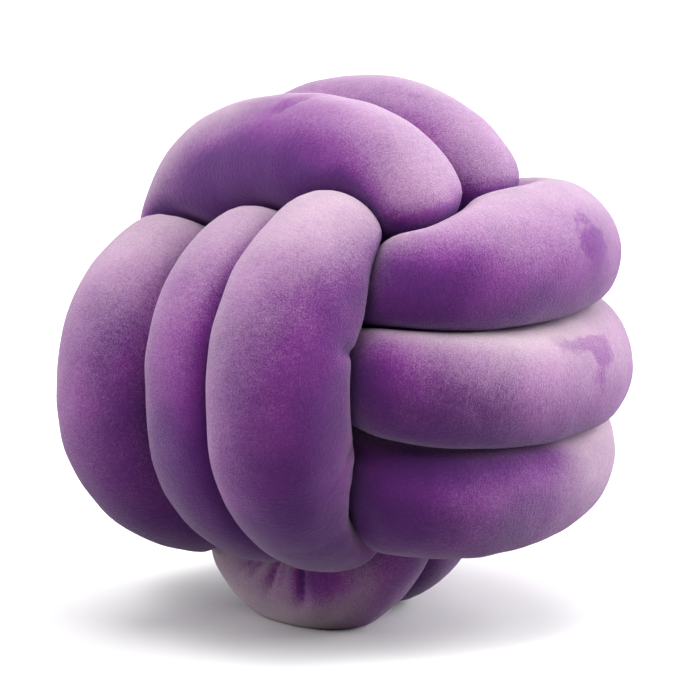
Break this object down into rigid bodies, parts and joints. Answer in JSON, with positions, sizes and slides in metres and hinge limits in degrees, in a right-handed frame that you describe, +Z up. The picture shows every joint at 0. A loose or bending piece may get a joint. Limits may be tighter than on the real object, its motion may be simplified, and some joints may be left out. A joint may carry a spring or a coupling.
{
  "type": "knot cushion",
  "caption": "Round knot cushion: one long stuffed plush tube worked into a ball of crossing bands, with both ends tucked out of sight.",
  "frame": {"origin": "centre of the part's bounding box at the surface it rests on", "axes": "+Z up; -Y out of the face with the upright passes, on the left in the picture; +X out of the face with the level passes, on the right in the picture"},
  "size_m": [0.2796, 0.2808, 0.2721],
  "materials": {
    "purple_plush": "short velvet pile, matt with a pale sheen at grazing angles"
  },
  "bodies": {
    "root": {"knotted_tube": "purple_plush"}
  },
  "joints": []
}
